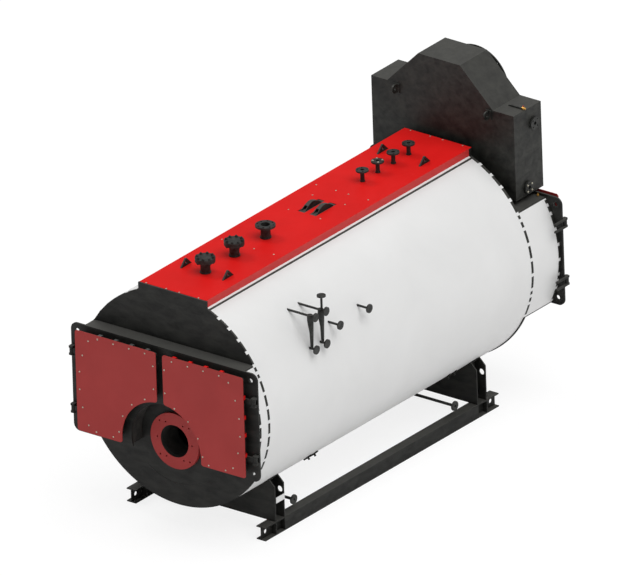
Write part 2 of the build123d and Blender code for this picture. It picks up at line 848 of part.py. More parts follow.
def gauge_column(place):
    """Upper and lower pipes joined by a body that narrows downwards."""
    side_pipe(place, gauge_top, gauge_flange_reach, dn20)
    side_pipe(place, gauge_bottom, gauge_flange_reach, dn20)
    sections = []
    for level, radius in ((gauge_bottom, gauge_body_bottom), (gauge_top, gauge_body_top)):
        with BuildSketch(Plane.XY.offset(level)) as section:
            with Locations((gauge_reach, front + place)):
                Circle(radius)
        sections.append(section.sketch)
    loft(sections)
    clear_of_drum(place, dn20["flange"])


with BuildPart() as gauge_column_front:
    gauge_column(gauge_places[0])
save(gauge_column_front, "gauge_column_front")

with BuildPart() as gauge_column_rear:
    gauge_column(gauge_places[1])
    with BuildSketch(Plane.XY.offset(gauge_top)):
        with Locations((gauge_reach, front + gauge_places[1])):
            Circle(dn20["pipe"])
    extrude(amount=vent_height - gauge_top)
    with BuildSketch(Plane.XY.offset(vent_height - dn20["thick"])):
        with Locations((gauge_reach, front + gauge_places[1])):
            Circle(dn20["flange"])
    extrude(amount=dn20["thick"])
save(gauge_column_rear, "gauge_column_rear")

with BuildPart() as level_stubs:
    for place in stub_places:
        side_pipe(place, stub_height, gauge_flange_reach, dn20)
        clear_of_drum(place, dn20["flange"])
save(level_stubs, "level_stubs")

# Drains: down from the drum's lowest line, round a bend and out to the right
with BuildPart() as drain_pipes:
    for place in drain_places:
        along = front + place
        lowest = axis_height - jacket_radius
        with BuildSketch(sideways(0)):
            with Locations((along, drain_height)):
                Circle(dn25["pipe"])
        extrude(amount=drain_reach)
        with BuildSketch(sideways(drain_reach - dn25["thick"])):
            with Locations((along, drain_height)):
                Circle(dn25["flange"])
                flange_holes(dn25)
        extrude(amount=dn25["thick"])
        with BuildSketch(Plane.XY.offset(drain_height)):
            with Locations((0, along)):
                Circle(dn25["pipe"])
        extrude(amount=lowest + dn25["pipe"] - drain_height)
        with BuildSketch(sideways(drain_reach - drain_mouth)):
            with Locations((along, drain_height)):
                Circle(dn25["bore"])
        extrude(amount=drain_mouth, mode=Mode.SUBTRACT)
        clear_of_drum(place, dn25["flange"])
save(drain_pipes, "drain_pipes")

# Economiser: a hooded casing on a duct over the rear smokebox
house_front = front + economiser_front
house_rear = house_front + economiser_depth


def housing_outline():
    Polygon((-economiser_half, economiser_bottom), (economiser_half, economiser_bottom),
            (economiser_half, economiser_shoulder), (hood_foot, economiser_shoulder),
            (hood_half, economiser_top), (-hood_half, economiser_top),
            (-hood_foot, economiser_shoulder), (-economiser_half, economiser_shoulder), align=None)


with BuildPart() as economiser_housing:
    with BuildSketch(across(house_rear)):
        housing_outline()
    extrude(amount=economiser_depth)
    with BuildSketch(across(house_rear - economiser_wall)):
        housing_outline()
        offset(amount=-economiser_wall, kind=Kind.INTERSECTION, mode=Mode.REPLACE)
    extrude(amount=economiser_depth - 2 * economiser_wall, mode=Mode.SUBTRACT)
    with BuildSketch(across(house_rear)):
        with Locations((0, flue_height)):
            Circle(flue_bore + flue_wall)
    extrude(amount=economiser_wall, mode=Mode.SUBTRACT)
    with BuildSketch(Plane.XY.offset(economiser_bottom)):
        with Locations((0, duct_front + duct_depth / 2)):
            Rectangle(2 * (duct_half - duct_wall), duct_depth - 2 * duct_wall)
    extrude(amount=economiser_wall, mode=Mode.SUBTRACT)
save(economiser_housing, "economiser_housing")

with BuildPart() as economiser_duct:
    with BuildSketch(Plane.XY.offset(smokebox_top)):
        with Locations((0, duct_front + duct_depth / 2)):
            Rectangle(2 * duct_half, duct_depth)
            Rectangle(2 * (duct_half - duct_wall), duct_depth - 2 * duct_wall, mode=Mode.SUBTRACT)
    extrude(amount=economiser_bottom - smokebox_top)
save(economiser_duct, "economiser_duct")

with BuildPart() as flue_outlet:
    with BuildSketch(across(house_rear + flue_length)):
        with Locations((0, flue_height)):
            Circle(flue_bore + flue_wall)
    extrude(amount=flue_length + economiser_wall)
    with BuildSketch(across(house_rear + flue_length)):
        with Locations((0, flue_height)):
            Circle(flue_flange)
            with PolarLocations(flue_bolt_circle, flue_bolts, start_angle=180 / flue_bolts):
                Circle(flue_bolt_hole, mode=Mode.SUBTRACT)
    extrude(amount=flue_flange_thick)
    with BuildSketch(across(house_rear + flue_length)):
        with Locations((0, flue_height)):
            Circle(flue_bore)
    extrude(amount=flue_length + economiser_wall, mode=Mode.SUBTRACT)
save(flue_outlet, "flue_outlet")

with BuildPart() as economiser_lugs:
    for side in (-1, 1):
        offset_x = side * economiser_lug_offset
        height = economiser_shoulder - economiser_lug_drop
        eye = house_front - economiser_pad_thick - economiser_lug_reach
        with BuildSketch(across(house_front)) as pad:
            with Locations((offset_x, height)):
                RectangleRounded(*economiser_pad, economiser_pad_thick)
        extrude(amount=economiser_pad_thick)
        with BuildSketch(sideways(offset_x - lug_thick / 2)):
            with Locations((eye, height)):
                Circle(economiser_lug_radius)
                Rectangle(economiser_lug_reach, 2 * economiser_lug_radius,
                          align=(Align.MIN, Align.CENTER))
            with Locations((house_front - economiser_pad_thick, height)):
                Rectangle(2 * economiser_lug_radius, 2 * economiser_lug_radius,
                          align=(Align.MIN, Align.CENTER), mode=Mode.SUBTRACT)
            with Locations((eye, height)):
                Circle(economiser_lug_eye, mode=Mode.SUBTRACT)
        extrude(amount=lug_thick)
save(economiser_lugs, "economiser_lugs")

with BuildPart() as economiser_connections:
    for place, rise in side_connections:
        height = economiser_bottom + rise
        with BuildSketch(sideways(economiser_half)):
            with Locations((house_front + place, height)):
                Circle(dn40["pipe"])
        extrude(amount=connection_reach)
        with BuildSketch(sideways(economiser_half + connection_reach - dn40["thick"])):
            with Locations((house_front + place, height)):
                Circle(dn40["flange"])
                flange_holes(dn40)
        extrude(amount=dn40["thick"])
        with BuildSketch(sideways(economiser_half)):
            with Locations((house_front + place, height)):
                Circle(dn40["bore"])
        extrude(amount=connection_reach, mode=Mode.SUBTRACT)
save(economiser_connections, "economiser_connections")


# Base: two beams under two saddles, with stiffeners under the saddle plates
def base_beam(side):
    """I-beam whose web stands out at its outer edge between the saddles."""
    centre = side * beam_offset
    with BuildPart() as beam:
        with BuildSketch(across(front + base_middle + beam_length / 2)):
            with Locations((centre, beam_height / 2)):
                Rectangle(beam_width, beam_height)
                for flank in (-1, 1):
                    with Locations((flank * (beam_width + beam_web) / 4, 0)):
                        Rectangle((beam_width - beam_web) / 2, beam_height - 2 * beam_flange,
                                  mode=Mode.SUBTRACT)
        extrude(amount=beam_length)
        inside_front = saddle_places[0] + saddle_pair / 2 - saddle_plate
        inside_rear = saddle_places[1] - saddle_pair / 2 + saddle_plate
        with BuildSketch(across(front + inside_rear)):
            with Locations((centre, beam_height / 2)):
                Rectangle(beam_web, beam_height - 2 * beam_flange)
        extrude(amount=inside_rear - inside_front, mode=Mode.SUBTRACT)
        with BuildSketch(across(front + inside_rear)):
            with Locations((centre + side * (beam_width - beam_web) / 2, beam_height / 2)):
                Rectangle(beam_web, beam_height - 2 * beam_flange)
        extrude(amount=inside_rear - inside_front)
        for place in saddle_places:
            for pair in (-1, 1):
                level = front + place + pair * (saddle_pair - stiffener) / 2
                with BuildSketch(across(level + stiffener / 2)):
                    with Locations((centre, beam_height / 2)):
                        Rectangle(beam_width, beam_height - 2 * beam_flange)
                extrude(amount=stiffener)
        with BuildSketch(sideways(centre - beam_web)):
            with Locations((front + base_middle, beam_height / 2)):
                with GridLocations(beam_length - 2 * beam_hole_inset, 1, 2, 1):
                    Circle(beam_hole)
        extrude(amount=2 * beam_web, mode=Mode.SUBTRACT)
    return beam


save(base_beam(-1), "base_beam_left")
save(base_beam(1), "base_beam_right")


def saddle(place):
    """Two cross plates cut to the drum, joined by a web and by a pad under the jacket."""
    middle = front + place
    inner = beam_offset - beam_width / 2 - sheet_clearance
    with BuildPart() as stand:
        for pair in (-1, 1):
            rear_face = middle + pair * (saddle_pair - saddle_plate) / 2 + saddle_plate / 2
            with BuildSketch(across(rear_face)):
                with BuildLine():
                    Polyline((-saddle_half, beam_height), (-inner, beam_height),
                             (-inner, saddle_bottom), (inner, saddle_bottom),
                             (inner, beam_height), (saddle_half, beam_height),
                             (saddle_half, saddle_shoulder),
                             (saddle_contact, axis_height - drum_section_drop),
                             (-saddle_contact, axis_height - drum_section_drop),
                             (-saddle_half, saddle_shoulder), close=True)
                make_face()
                with Locations((0, axis_height)):
                    Circle(jacket_radius, mode=Mode.SUBTRACT)
                with Locations((-saddle_hole[0], saddle_hole[1]), saddle_hole):
                    Circle(saddle_hole_radius, mode=Mode.SUBTRACT)
            extrude(amount=saddle_plate)
        with BuildSketch(across(middle + saddle_pair / 2 - saddle_plate)) as pad:
            with Locations((0, axis_height)):
                Circle(jacket_radius + saddle_pad)
            with Locations((0, axis_height)):
                Circle(jacket_radius, mode=Mode.SUBTRACT)
            with Locations((0, axis_height - drum_section_drop)):
                Rectangle(4 * jacket_radius, 4 * jacket_radius, align=(Align.CENTER, Align.MIN),
                          mode=Mode.SUBTRACT)
            for side in (-1, 1):
                with Locations((side * saddle_web_place, beam_height)):
                    Rectangle(saddle_web, saddle_shoulder - beam_height,
                              align=(Align.CENTER, Align.MIN))
        extrude(amount=saddle_pair - 2 * saddle_plate)
    return stand


save(saddle(saddle_places[0]), "saddle_front")
save(saddle(saddle_places[1]), "saddle_rear")
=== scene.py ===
import math

import bpy
import numpy as np
from mathutils import Matrix, Vector


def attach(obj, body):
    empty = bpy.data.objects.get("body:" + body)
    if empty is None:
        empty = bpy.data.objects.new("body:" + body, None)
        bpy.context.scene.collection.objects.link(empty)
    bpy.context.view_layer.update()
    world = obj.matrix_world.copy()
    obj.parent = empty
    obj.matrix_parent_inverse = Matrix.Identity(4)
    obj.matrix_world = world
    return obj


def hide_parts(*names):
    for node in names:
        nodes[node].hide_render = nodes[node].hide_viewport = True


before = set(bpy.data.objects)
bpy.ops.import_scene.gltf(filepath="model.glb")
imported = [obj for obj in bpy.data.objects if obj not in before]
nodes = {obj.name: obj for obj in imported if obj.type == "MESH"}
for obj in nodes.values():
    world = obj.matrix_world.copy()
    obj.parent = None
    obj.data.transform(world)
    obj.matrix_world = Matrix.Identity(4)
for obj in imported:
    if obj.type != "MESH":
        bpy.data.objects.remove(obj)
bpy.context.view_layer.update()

# View of the boiler: a parallel picture from the right of the burner end, seen from above,
# with the axes of the picture given in the boiler's own frame.
picture_right = Vector((0.79641782, 0.60404911, -0.02904012))
picture_up = Vector((-0.23238479, 0.35001813, 0.90746053))
picture_back = Vector((0.5583153, -0.71596925, 0.4191325))
picture_middle = Vector((-0.018763, 0.019087, 1.957598))
picture_width = 7.2153
camera_distance = 14.0

bpy.context.scene.view_settings.view_transform = "Standard"
camera = bpy.data.objects.new("camera", bpy.data.cameras.new("camera"))
camera.data.type = "ORTHO"
camera.data.ortho_scale = picture_width
camera.matrix_world = Matrix.Translation(picture_middle + picture_back * camera_distance) @ Matrix(
    (picture_right, picture_up, picture_back)).transposed().to_4x4()
bpy.context.scene.collection.objects.link(camera)
bpy.context.scene.camera = camera

# Studio: a wide white floor that keeps a light shadow, an even white room, a large soft lamp
# high above the right side and a smaller one on the left. The front is left in its own shade.
floor_reach = 60.0
floor_white = 0.9
floor_shadow = 0.22
floor_light = 1.06
room_strength = 0.36
room_in_gloss = 0.45
lamps = {"right_lamp": ((0.40, 0.02, 0.90), 1.88, 1.0),
         "left_lamp": ((-0.62, -0.02, 0.78), 0.70, 0.35)}
lamp_distance = 8.0
merge_gap = 1e-5


def node_tree(owner):
    """Turns on an owner's nodes, empties them and returns a function that adds a node with
    its settings and inputs, and one that joins two sockets."""
    owner.use_nodes = True
    tree = owner.node_tree
    tree.nodes.clear()

    def add(kind, inputs=None, **settings):
        made = tree.nodes.new(kind)
        for key, value in settings.items():
            setattr(made, key, value)
        for key, value in (inputs or {}).items():
            made.inputs[key].default_value = value
        return made

    def join(source, target):
        tree.links.new(source, target)

    return add, join


def grid_piece(name, grids, faces_wrap=True, wall=0.0, sharp=38):
    """One mesh from grids of points with the axes copy, row, column and x-y-z. Each point is
    joined to the next in its row and to the row above, and the last column to the first
    where the grid wraps. Points that coincide, as at a pole, are merged, and an open sheet
    gets its wall behind the grid."""
    grids = np.asarray(grids, float)
    copies, rows, columns = grids.shape[:3]
    index = np.arange(copies * rows * columns).reshape(copies, rows, columns)
    after = np.roll(index, -1, axis=2) if faces_wrap else index[:, :, 1:]
    here = index if faces_wrap else index[:, :, :-1]
    quads = np.stack([here[:, :-1], after[:, :-1], after[:, 1:], here[:, 1:]], axis=-1).reshape(-1, 4)
    mesh = bpy.data.meshes.new(name)
    mesh.from_pydata(grids.reshape(-1, 3).tolist(), [], quads.tolist())
    mesh.polygons.foreach_set("use_smooth", np.ones(len(quads), bool))
    piece = bpy.data.objects.new(name, mesh)
    bpy.context.scene.collection.objects.link(piece)
    weld = piece.modifiers.new("weld", "WELD")
    weld.merge_threshold = merge_gap
    if wall:
        thicken = piece.modifiers.new("wall", "SOLIDIFY")
        thicken.thickness = wall
    split = piece.modifiers.new("edges", "EDGE_SPLIT")
    split.split_angle = math.radians(sharp)
    return piece


floor_points = np.array([[[(x, y, 0.0) for x in (-floor_reach, floor_reach)]
                          for y in (-floor_reach, floor_reach)]])
floor = grid_piece("floor", floor_points, faces_wrap=False)
floor.modifiers.clear()
floor_paint = bpy.data.materials.new("floor_white")
add, join = node_tree(floor_paint)
shade = add("ShaderNodeBsdfDiffuse", {"Color": (floor_white, floor_white, floor_white, 1)})
glow = add("ShaderNodeEmission", {"Color": (1, 1, 1, 1), "Strength": floor_light})
blend = add("ShaderNodeMixShader", {"Fac": floor_shadow})
eye = add("ShaderNodeLightPath")
choose = add("ShaderNodeMixShader")
out = add("ShaderNodeOutputMaterial")
join(glow.outputs[0], blend.inputs[1])
join(shade.outputs[0], blend.inputs[2])
join(eye.outputs["Is Camera Ray"], choose.inputs["Fac"])
join(shade.outputs[0], choose.inputs[1])
join(blend.outputs[0], choose.inputs[2])
join(choose.outputs[0], out.inputs["Surface"])
floor.data.materials.append(floor_paint)

world = bpy.data.worlds.new("white_room")
bpy.context.scene.world = world
add, join = node_tree(world)
room = add("ShaderNodeBackground", {"Color": (1, 1, 1, 1), "Strength": room_strength})
seen = add("ShaderNodeBackground", {"Color": (1, 1, 1, 1), "Strength": 1.0})
mirrored = add("ShaderNodeBackground", {"Color": (1, 1, 1, 1), "Strength": room_in_gloss})
eye = add("ShaderNodeLightPath")
in_gloss = add("ShaderNodeMath", operation="MAXIMUM")
with_gloss = add("ShaderNodeMixShader")
with_eye = add("ShaderNodeMixShader")
out = add("ShaderNodeOutputWorld")
join(eye.outputs["Is Glossy Ray"], in_gloss.inputs[0])
join(eye.outputs["Is Transmission Ray"], in_gloss.inputs[1])
join(in_gloss.outputs[0], with_gloss.inputs["Fac"])
join(room.outputs[0], with_gloss.inputs[1])
join(mirrored.outputs[0], with_gloss.inputs[2])
join(eye.outputs["Is Camera Ray"], with_eye.inputs["Fac"])
join(with_gloss.outputs[0], with_eye.inputs[1])
join(seen.outputs[0], with_eye.inputs[2])
join(with_eye.outputs[0], out.inputs["Surface"])

for lamp_name, (lamp_from, lamp_strength, lamp_width) in lamps.items():
    lamp = bpy.data.objects.new(lamp_name, bpy.data.lights.new(lamp_name, "SUN"))
    lamp.data.energy = lamp_strength
    lamp.data.angle = lamp_width
    lamp.rotation_mode = "QUATERNION"
    lamp.rotation_quaternion = Vector(lamp_from).to_track_quat("Z", "Y")
    lamp.location = Vector(lamp_from) * lamp_distance
    bpy.context.scene.collection.objects.link(lamp)

# Drum jacket: rolled steel sheet over mineral wool, painted white. The paint has a slight
# orange peel and the sheet is not quite true between its seams.
drum_front = -2.715
drum_rear = 2.215
axis_height = 1.650
jacket_radius = 1.320
jacket_light = (0.79, 0.79, 0.785)
jacket_dull = (0.755, 0.755, 0.75)
# Paler grey of the painted highlight on faces that look up.
top_light_grey = (0.088, 0.087, 0.080)


def paint(name, dark, light, rough, patch=3.0, grain=160.0, peel=0.0004, stretch=(1, 1, 1),
          contrast=(0.35, 0.65), wave=0.0, specular=0.5, metallic=0.0, top_light=0.0):
    """Painted metal: broad patches between two tones, a roughness that follows a second noise, and a
    bump from fine grain and, where asked for, a slow wave of the sheet. Where asked for, a painted
    highlight pales the faces that look up, most where they are level."""
    material = bpy.data.materials.new(name)
    add, join = node_tree(material)
    place = add("ShaderNodeTexCoord")
    fit = add("ShaderNodeMapping", {"Scale": stretch})
    join(place.outputs["Object"], fit.inputs["Vector"])
    patches = add("ShaderNodeTexNoise", {"Scale": patch, "Detail": 6.0, "Roughness": 0.6,
                                         "Distortion": 0.4})
    fine = add("ShaderNodeTexNoise", {"Scale": grain, "Detail": 3.0, "Roughness": 0.6})
    gloss = add("ShaderNodeTexNoise", {"Scale": patch * 2.3, "Detail": 4.0})
    for texture in (patches, gloss):
        join(fit.outputs[0], texture.inputs["Vector"])
    join(place.outputs["Object"], fine.inputs["Vector"])
    tone = add("ShaderNodeValToRGB")
    tone.color_ramp.elements[0].position, tone.color_ramp.elements[1].position = contrast
    tone.color_ramp.elements[0].color = (*dark, 1)
    tone.color_ramp.elements[1].color = (*light, 1)
    join(patches.outputs["Fac"], tone.inputs["Fac"])
    shine = add("ShaderNodeMapRange", {"To Min": rough[0], "To Max": rough[1]})
    join(gloss.outputs["Fac"], shine.inputs["Value"])
    bump = add("ShaderNodeBump", {"Strength": 0.5, "Distance": peel})
    join(fine.outputs["Fac"], bump.inputs["Height"])
    surface = add("ShaderNodeBsdfPrincipled", {"Specular IOR Level": specular, "Metallic": metallic})
    if wave:
        sheet = add("ShaderNodeTexNoise", {"Scale": 1.3, "Detail": 1.0})
        join(place.outputs["Object"], sheet.inputs["Vector"])
        swell = add("ShaderNodeBump", {"Strength": 0.6, "Distance": wave})
        join(sheet.outputs["Fac"], swell.inputs["Height"])
        join(swell.outputs[0], bump.inputs["Normal"])
    # Painted highlight: faces that look up are mixed toward a paler grey.
    if top_light:
        facing = add("ShaderNodeSeparateXYZ")
        upward = add("ShaderNodeMapRange", {"From Min": 0.2, "From Max": 1.0, "To Max": top_light})
        painted_top_light = add("ShaderNodeMixRGB", {"Color2": (*top_light_grey, 1)})
        join(place.outputs["Normal"], facing.inputs[0])
        join(facing.outputs["Z"], upward.inputs["Value"])
        join(upward.outputs[0], painted_top_light.inputs["Fac"])
        join(tone.outputs["Color"], painted_top_light.inputs["Color1"])
        join(painted_top_light.outputs[0], surface.inputs["Base Color"])
    else:
        join(tone.outputs["Color"], surface.inputs["Base Color"])
    join(shine.outputs[0], surface.inputs["Roughness"])
    join(bump.outputs[0], surface.inputs["Normal"])
    out = add("ShaderNodeOutputMaterial")
    join(surface.outputs[0], out.inputs["Surface"])
    return material


def dress(names, material, sharp=32):
    """Gives CAD nodes their finish, and shades round faces smooth with sharp edges kept."""
    for name in names:
        node = nodes[name]
        node.data.materials.clear()
        node.data.materials.append(material)
        node.data.polygons.foreach_set("use_smooth", np.ones(len(node.data.polygons), bool))
        weld = node.modifiers.new("weld", "WELD")
        weld.merge_threshold = merge_gap
        split = node.modifiers.new("edges", "EDGE_SPLIT")
        split.split_angle = math.radians(sharp)
        even = node.modifiers.new("even", "WEIGHTED_NORMAL")
        even.keep_sharp = True


def fit_to(body, material, slot, *pieces):
    """Finishes new pieces in a material and fixes them to a body. The slot argument is not used."""
    for piece in pieces:
        piece.data.materials.append(material)
        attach(piece, body)


white_paint = paint("white_jacket_paint", jacket_dull, jacket_light, (0.34, 0.46), patch=0.9, wave=0.004,
                    specular=0.35)
dress(["drum_jacket", "front_smokebox_cladding", "rear_smokebox_cladding"], white_paint)

# Pressure shell, tube plates and furnace: hot-rolled boiler plate with its blue-grey scale,
# seen only through the open doors and the burner mouth.
plate_dark = (0.030, 0.031, 0.034)
plate_light = (0.075, 0.072, 0.070)
rolled_plate = paint("rolled_boiler_plate", plate_dark, plate_light, (0.45, 0.68), patch=5.0,
                     grain=90.0, peel=0.0008)
dress(["pressure_shell", "front_tube_plate", "rear_tube_plate", "furnace_tube"], rolled_plate)

# End plates, smokeboxes, frames, hinges, door boxes and base: plate in heat-resistant black
# paint, mottled like a thin coat over rolled steel.
black_dark = (0.0062, 0.0062, 0.0056)
black_light = (0.0235, 0.0234, 0.0208)
# Its faces that look up carry a painted highlight of paler grey.
black_paint = paint("mottled_black_paint", black_dark, black_light, (0.42, 0.68), patch=6.0, grain=120.0,
                    peel=0.0012, stretch=(0.7, 1.0, 1.8), contrast=(0.33, 0.70), specular=0.25,
                    top_light=0.58)
dress(["front_end_plate", "rear_end_plate", "front_smokebox_casing", "rear_smokebox_casing",
       "front_door_frame", "rear_door_frame", "front_hinge_brackets", "rear_hinge_brackets",
       "front_door_left", "front_door_right", "rear_door_left", "rear_door_right",
       "front_door_left_straps", "front_door_right_straps", "rear_door_left_straps",
       "rear_door_right_straps", "lifting_lugs", "lifting_channels", "base_beam_left",
       "base_beam_right"], black_paint)

# Economiser: a plate housing in the same black, weathered a little paler by the flue's heat.
# The housing is drawn here with its hood a little left of its middle, as in the picture.
stack_dark = (0.0075, 0.0077, 0.0068)
stack_light = (0.034, 0.0345, 0.0298)
# Its faces that look up carry a painted highlight of paler grey, as on the black paint.
stack_paint = paint("heat_paled_black_paint", stack_dark, stack_light, (0.42, 0.66), patch=8.0,
                    grain=110.0, peel=0.0012, stretch=(1.0, 1.0, 1.2), contrast=(0.33, 0.69),
                    specular=0.28, top_light=0.46)
dress(["economiser_duct", "flue_outlet", "economiser_lugs"], stack_paint)
house_front = 2.349
house_rear = 2.857
house_half = 1.008
house_bottom = 2.396
house_shoulder = 3.450
house_top = 3.897
hood_middle = -0.033
hood_top_half = 0.296
hood_foot_half = 0.746
house_wall = 0.050
hood_pole_drop = 0.100
flue_height = 3.384
flue_radius = 0.396


def round_hole(outline, middle, radius, share=12, seen_from=None):
    """Points on an outline's edges, in equal parts, and points on a circle, each on the line
    from its edge point to a point in the circle, by default its middle: the two edges of a
    plate with a hole. The reach r along a line with direction d is the root of
    |start + r d - middle| = radius."""
    outline = np.asarray(outline, float)
    steps = np.arange(share)[None, :, None] / share
    edge = outline[:, None] * (1 - steps) + np.roll(outline, -1, axis=0)[:, None] * steps
    edge = edge.reshape(-1, 2)
    start = np.asarray(middle if seen_from is None else seen_from, float)
    away = (edge - start) / np.linalg.norm(edge - start, axis=1, keepdims=True)
    along = away @ (start - middle)
    reach = np.sqrt(along ** 2 - np.sum((start - middle) ** 2) + radius ** 2) - along
    return edge, start + reach[:, None] * away


def upright(points, place):
    """Points across the boiler, x and z, set at a place along it."""
    points = np.asarray(points, float)
    return np.stack([points[:, 0], np.full(len(points), float(place)), points[:, 1]], axis=-1)


house_outline = [(-house_half, house_bottom), (-house_half, house_shoulder),
                 (hood_middle - hood_foot_half, house_shoulder),
                 (hood_middle - hood_top_half, house_top), (hood_middle + hood_top_half, house_top),
                 (hood_middle + hood_foot_half, house_shoulder),
                 (house_half, house_shoulder), (house_half, house_bottom)]
flue_centre = np.array([0, flue_height])
under_hood = np.array([0, house_shoulder - hood_pole_drop])
house_edge, flue_edge = round_hole(house_outline, flue_centre, flue_radius, seen_from=under_hood)
house_inside = house_edge + house_wall * (under_hood - house_edge) / np.linalg.norm(
    house_edge - under_hood, axis=1, keepdims=True)
house_pole = np.repeat([under_hood], len(house_edge), axis=0)
housing = grid_piece("economiser_plates", [[
    upright(house_pole, house_front), upright(house_edge, house_front), upright(house_edge, house_rear),
    upright(flue_edge, house_rear), upright(flue_edge, house_rear - house_wall),
    upright(house_inside, house_rear - house_wall), upright(house_inside, house_front + house_wall),
    upright(house_pole, house_front + house_wall)]])
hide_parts("economiser_housing")
fit_to("boiler", stack_paint, "black_paint", housing)

# Crown nozzles, level columns, stubs, drains and the economiser's side connections: forged
# flanges and pipe with a thin black dip.
dip_dark = (0.009, 0.009, 0.008)
dip_light = (0.036, 0.037, 0.034)
pipe_black = paint("pipe_black_dip", dip_dark, dip_light, (0.38, 0.58), patch=22.0, grain=260.0,
                   peel=0.0006, specular=0.3)
dress(["blind_nozzle_front", "blind_nozzle_rear", "steam_nozzle", "valve_nozzles", "gauge_column_front",
       "gauge_column_rear", "level_stubs", "drain_pipes", "economiser_connections"], pipe_black)

# Reducers at the top of the level columns: wide under the upper pipe, then narrowing down to
# the column with their outer side straight.
column_reach = 1.228
column_height = 2.612
column_radius = 0.018
column_places = (0.954, 1.153)
reducer_rings = ((0.000, 0.014), (0.034, 0.014), (0.034, -0.058), (0.030, -0.110),
                 (column_radius, -0.235), (0.000, -0.235))
turn = np.linspace(0, 2 * math.pi, 32, endpoint=False)
reducers = grid_piece("column_reducers", [[
    np.stack([column_reach - max(radius - column_radius, 0) + radius * np.cos(turn),
              drum_front + place + radius * np.sin(turn),
              np.full(len(turn), column_height + level)], axis=-1)
    for radius, level in reversed(reducer_rings)] for place in column_places])
fit_to("boiler", pipe_black, "flange_black", reducers)

# Walkway tray: steel sheet along the crown, folded down to the jacket at both sides, in bright
# red gloss paint. The two lifting channels stand through its slots.
walkway_deep = (0.62, 0.009, 0.008)
walkway_clear = (0.68, 0.011, 0.010)
walkway_paint = paint("bright_red_paint", walkway_deep, walkway_clear, (0.46, 0.58), patch=1.6,
                      wave=0.003, specular=0.08)
walkway_half = 0.474
walkway_top = 2.974
walkway_front = -2.700
walkway_rear = 2.246
walkway_sheet = 0.004
skirt_front = -2.6945
skirt_rear = 2.1945
slot_near = 0.034
slot_far = 0.130
slot_front = -0.205
slot_rear = 0.182
crown_drop = axis_height + math.sqrt(jacket_radius ** 2 - walkway_half ** 2)
fold = [(-walkway_half, crown_drop), (-walkway_half, walkway_top), (-slot_far, walkway_top),
        (-slot_near, walkway_top), (slot_near, walkway_top), (slot_far, walkway_top),
        (walkway_half, walkway_top), (walkway_half, crown_drop)]
lines = [walkway_front, skirt_front, slot_front, slot_rear, skirt_rear, walkway_rear]
open_cells = {(2, 2), (2, 4), (0, 0), (0, 6), (4, 0), (4, 6)}
sheet_cells, on_skirt = [], []
for row in range(len(lines) - 1):
    for part in range(len(fold) - 1):
        if (row, part) not in open_cells:
            sheet_cells.append([upright(fold[part:part + 2], line) for line in lines[row:row + 2]])
            on_skirt.append(int(part in (0, 6)))
walkway = grid_piece("walkway_tray", sheet_cells, faces_wrap=False, wall=walkway_sheet)
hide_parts("top_platform")
fit_to("boiler", walkway_paint, "walkway_red", walkway)

# Door covers, burner flange and the walkway's skirts: a satin red, deeper than the walkway's top, partly
# the coat's own deeper tone and partly painted shade of the covers' front-facing faces. The skirts take
# a lighter copy of it, painted light where the lamp falls on their sides. The covers are sheet over the
# door boxes, and the flange is a drilled steel ring.
door_deep = (0.345, 0.0265, 0.0240)
door_clear = (0.380, 0.0315, 0.0290)
skirt_lit_deep = (0.555, 0.0335, 0.0310)
skirt_lit_clear = (0.600, 0.0380, 0.0350)
door_paint = paint("door_red_paint", door_deep, door_clear, (0.40, 0.54), patch=1.8, wave=0.0015,
                   specular=0.25)
skirt_painted_light = paint("skirt_red_painted_light", skirt_lit_deep, skirt_lit_clear, (0.40, 0.54), patch=1.8,
                    specular=0.25)
# The skirts get the lighter copy of the red: painted light.
walkway.data.materials.append(skirt_painted_light)
walkway.data.polygons.foreach_set("material_index", on_skirt)
dress(["front_door_left_cover", "front_door_right_cover", "rear_door_left_cover",
       "rear_door_right_cover", "burner_flange"], door_paint)


def part_finish(name, material, chosen):
    """Gives the faces of a CAD node that a rule picks by their middles a second material."""
    mesh = nodes[name].data
    middles = np.empty(len(mesh.polygons) * 3)
    mesh.polygons.foreach_get("center", middles)
    mesh.materials.append(material)
    mesh.polygons.foreach_set("material_index", chosen(*middles.reshape(-1, 3).T).astype(int))


# Burner throat: a cast refractory ring, blackened by the flame. The doors carry a pale board
# of the same stuff, which stands into the frame's opening.
# These colours are soot on the throat, and painted shade on the smokebox's arch below.
soot_and_shade_dark = (0.010, 0.009, 0.008)
soot_and_shade_light = (0.035, 0.031, 0.027)
throat_soot_and_shade = paint("sooted_refractory_and_painted_shade", soot_and_shade_dark, soot_and_shade_light, (0.85, 0.95), patch=9.0,
                      grain=70.0, peel=0.004)
dress(["burner_throat"], throat_soot_and_shade)
board_dark = (0.34, 0.31, 0.26)
board_light = (0.55, 0.52, 0.45)
door_board = paint("pale_refractory_board", board_dark, board_light, (0.85, 0.95), patch=9.0, grain=70.0,
                   peel=0.003)
front_seat = -2.909
rear_seat = 2.752
seat_margin = 1e-4
for side_name in ("left", "right"):
    part_finish(f"front_door_{side_name}", door_board, lambda x, y, z: y > front_seat + seat_margin)
    part_finish(f"rear_door_{side_name}", door_board, lambda x, y, z: y < rear_seat - seat_margin)

# The burner flange's bore and the arch of the front smokebox round it take the same sooted colour as
# painted shade: the dark of the recess round the burner is painted into them.
burner_height = 1.130
bore_edge = 0.198
arch_edge = 0.516
flange_face = -2.758
part_finish("burner_flange", throat_soot_and_shade,
            lambda x, y, z: ((np.hypot(x, z - burner_height) < bore_edge)
                             & (y > flange_face + seat_margin)))
part_finish("front_smokebox_casing", throat_soot_and_shade,
            lambda x, y, z: np.hypot(x, z - burner_height) < arch_edge)

